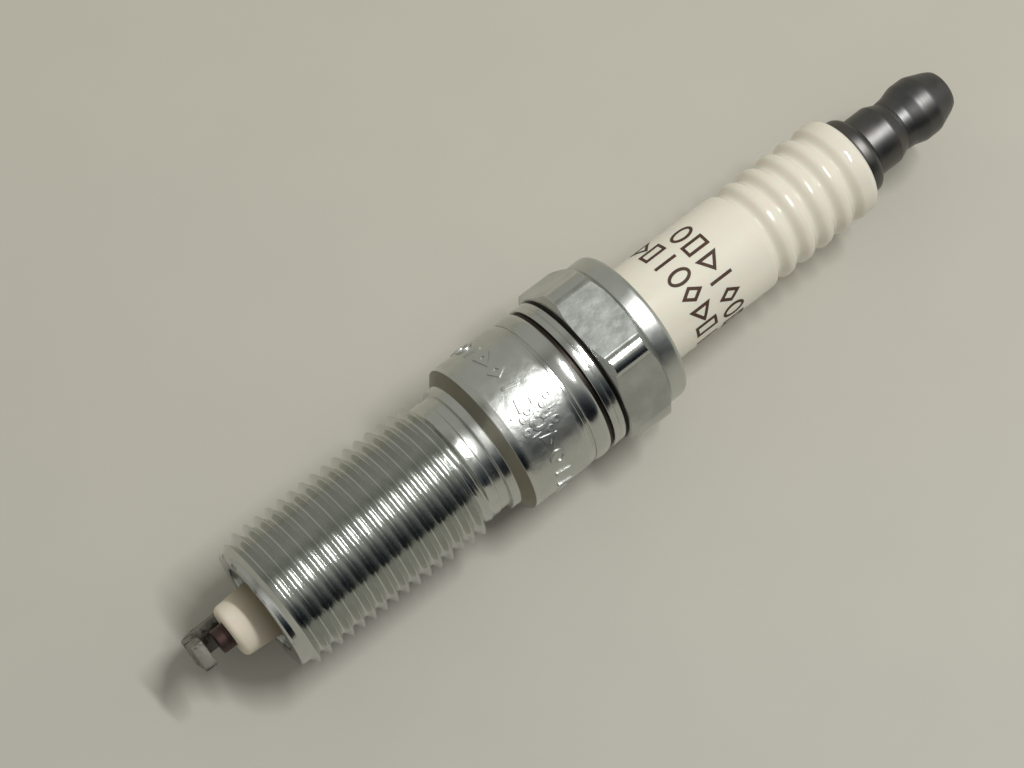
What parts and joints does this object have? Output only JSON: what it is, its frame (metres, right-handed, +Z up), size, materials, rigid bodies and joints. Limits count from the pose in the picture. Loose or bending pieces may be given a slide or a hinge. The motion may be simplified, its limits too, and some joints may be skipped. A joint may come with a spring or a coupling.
{
  "type": "spark plug",
  "caption": "Long-reach motorcycle spark plug with a tapered seat, hexagonal steel shell, ribbed ceramic insulator, bent ground strap and screw-on terminal nut.",
  "frame": {"origin": "centre of the footprint, on the surface that the plug lies on, under the middle of its length", "axes": "+X along the plug from the spark end to the terminal end; +Z up, square to the hexagon flat that the plug lies on; +Y completes the right-handed frame"},
  "size_m": [0.0898, 0.0182, 0.0159],
  "materials": {
    "plated_steel": "bright zinc-plated steel, rolled and forged surfaces",
    "glazed_alumina": "glossy warm white glaze over alumina, matte at the nose",
    "soft_steel": "plain soft steel",
    "talc": "pressed powder",
    "dark_nickel": "heat-darkened nickel alloy",
    "copper": "plain copper core",
    "seal_glass": "fused copper and glass powder",
    "resistor_body": "sintered carbon and glass powder",
    "black_steel": "blackened steel, soft sheen",
    "nickel_alloy": "dull nickel alloy strip"
  },
  "bodies": {
    "plug": {"shell": "plated_steel", "insulator": "glazed_alumina", "lower_seat_washer": "soft_steel", "lower_packing_ring": "soft_steel", "upper_packing_ring": "soft_steel", "talc_fill": "talc", "centre_electrode": "dark_nickel", "centre_electrode_core": "copper", "lower_glass_seal": "seal_glass", "resistor": "resistor_body", "upper_glass_seal": "seal_glass", "terminal_stud": "black_steel", "ground_electrode": "nickel_alloy"},
    "terminal_nut": {"terminal_nut": "black_steel"}
  },
  "joints": [
    {"name": "terminal_nut_slide", "type": "slide", "parent": "plug", "child": "terminal_nut", "axis": [1, 0, 0], "range_m": [0, 0.009]}
  ]
}
